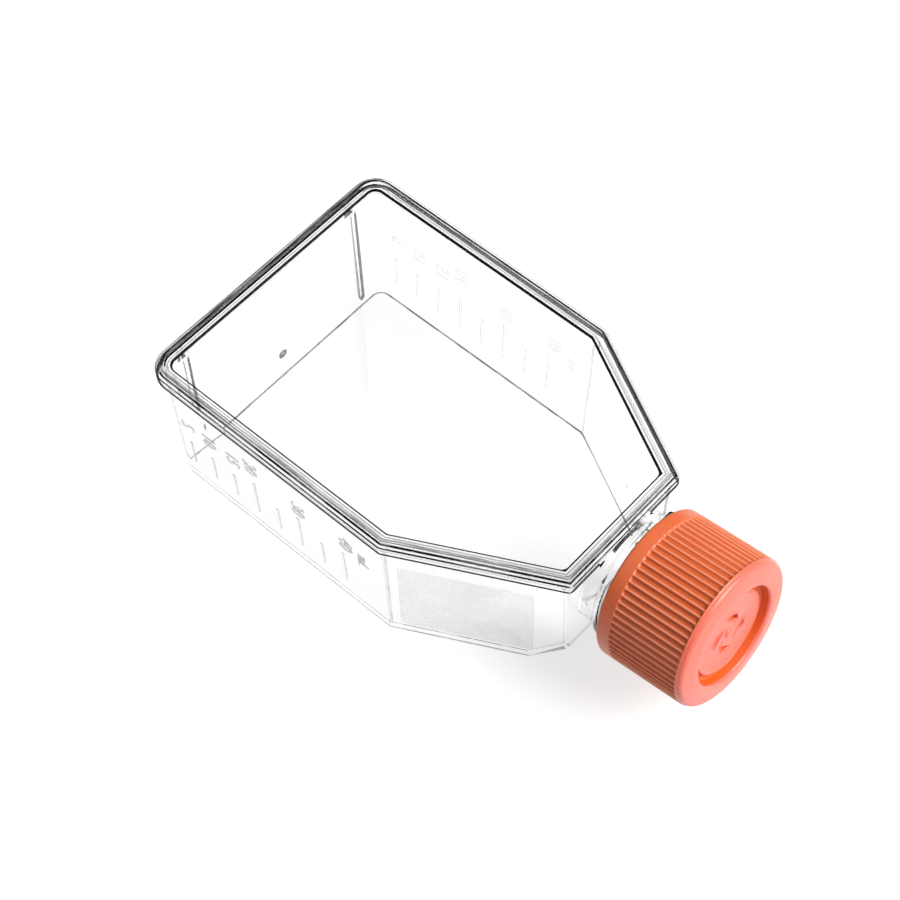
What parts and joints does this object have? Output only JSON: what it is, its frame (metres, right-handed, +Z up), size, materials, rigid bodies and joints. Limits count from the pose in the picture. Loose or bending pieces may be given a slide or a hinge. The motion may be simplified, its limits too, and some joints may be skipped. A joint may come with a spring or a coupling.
{
  "type": "cell culture flask",
  "caption": "Clear rectangular tissue culture flask lying on its growth floor, with shoulders, raised neck, welded top plate and vented screw cap.",
  "frame": {"origin": "on the table under the middle of the rim: halfway between the rim's rear and front faces, on the centre line, at the underside of the growth floor", "axes": "+X from the rear wall towards the neck, +Y across the flask, +Z up from the growth floor to the top plate"},
  "size_m": [0.0924, 0.05, 0.0313],
  "materials": {
    "clear_polystyrene": "polished clear polystyrene",
    "clear_plate": "polished clear polystyrene",
    "cap_plastic": "semi-gloss orange polyethylene",
    "membrane": "matt white porous film"
  },
  "bodies": {
    "flask": {"flask_body": "clear_polystyrene", "top_plate": "clear_plate"},
    "cap_carrier": {"vent_membrane": "membrane"},
    "screw_cap": {"cap": "cap_plastic"}
  },
  "joints": [
    {"name": "cap_lift", "type": "slide", "parent": "flask", "child": "cap_carrier", "axis": [0.9914, 0, 0.1305], "range_m": [0, 0.01261]},
    {"name": "cap_turn", "type": "hinge", "parent": "cap_carrier", "child": "screw_cap", "pos_m": [0.0356, 0, 0.017], "axis": [0.9914, 0, 0.1305], "range_deg": [0, 1260]}
  ],
  "couplings": [
    {"joint": "cap_lift", "follows": "cap_turn", "m_per_rad": 0.00057296}
  ]
}
